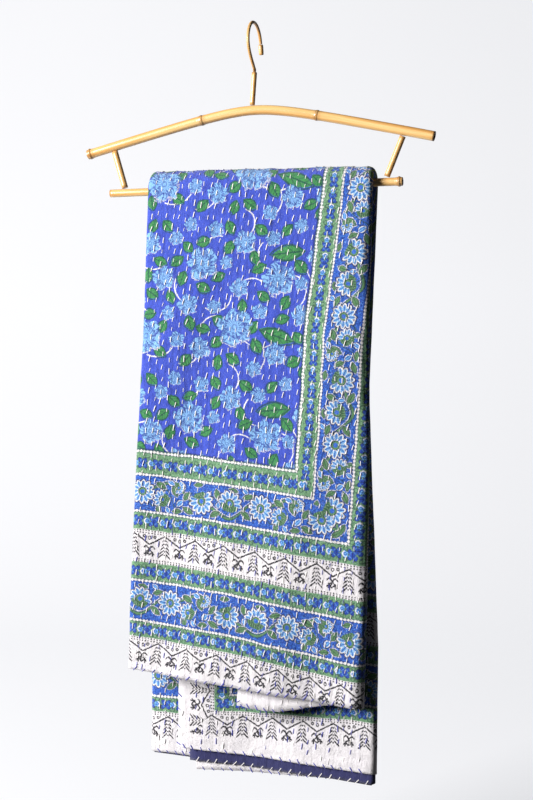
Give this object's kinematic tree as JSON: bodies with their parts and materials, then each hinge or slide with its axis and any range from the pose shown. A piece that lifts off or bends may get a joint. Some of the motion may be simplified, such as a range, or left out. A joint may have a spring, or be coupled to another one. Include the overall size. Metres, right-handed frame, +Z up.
{
  "type": "block print bedspread on a bamboo hanger",
  "caption": "Quilted block print bedspread in blue and green, folded into a narrow strip and hung over the lower bar of a bowed bamboo hanger.",
  "frame": {"origin": "inside crest of the hook, where it sits on its rail", "axes": "+Z up, +X along the hanger's bars to the viewer's right, -Y towards the side that shows the longer print"},
  "size_m": [0.485, 0.0693, 1.0065],
  "materials": {
    "quilted_cotton": "matt, block printed, with rows of running stitch",
    "bamboo": "clear varnish with scorched node rings",
    "rattan_wrap": "satin strip wound on wire"
  },
  "bodies": {
    "root": {"bedspread": "quilted_cotton", "top_bar": "bamboo", "lower_bar": "bamboo", "left_strut": "bamboo", "right_strut": "bamboo", "stem": "bamboo", "hook": "rattan_wrap", "hook_tip": "rattan_wrap"}
  },
  "joints": []
}
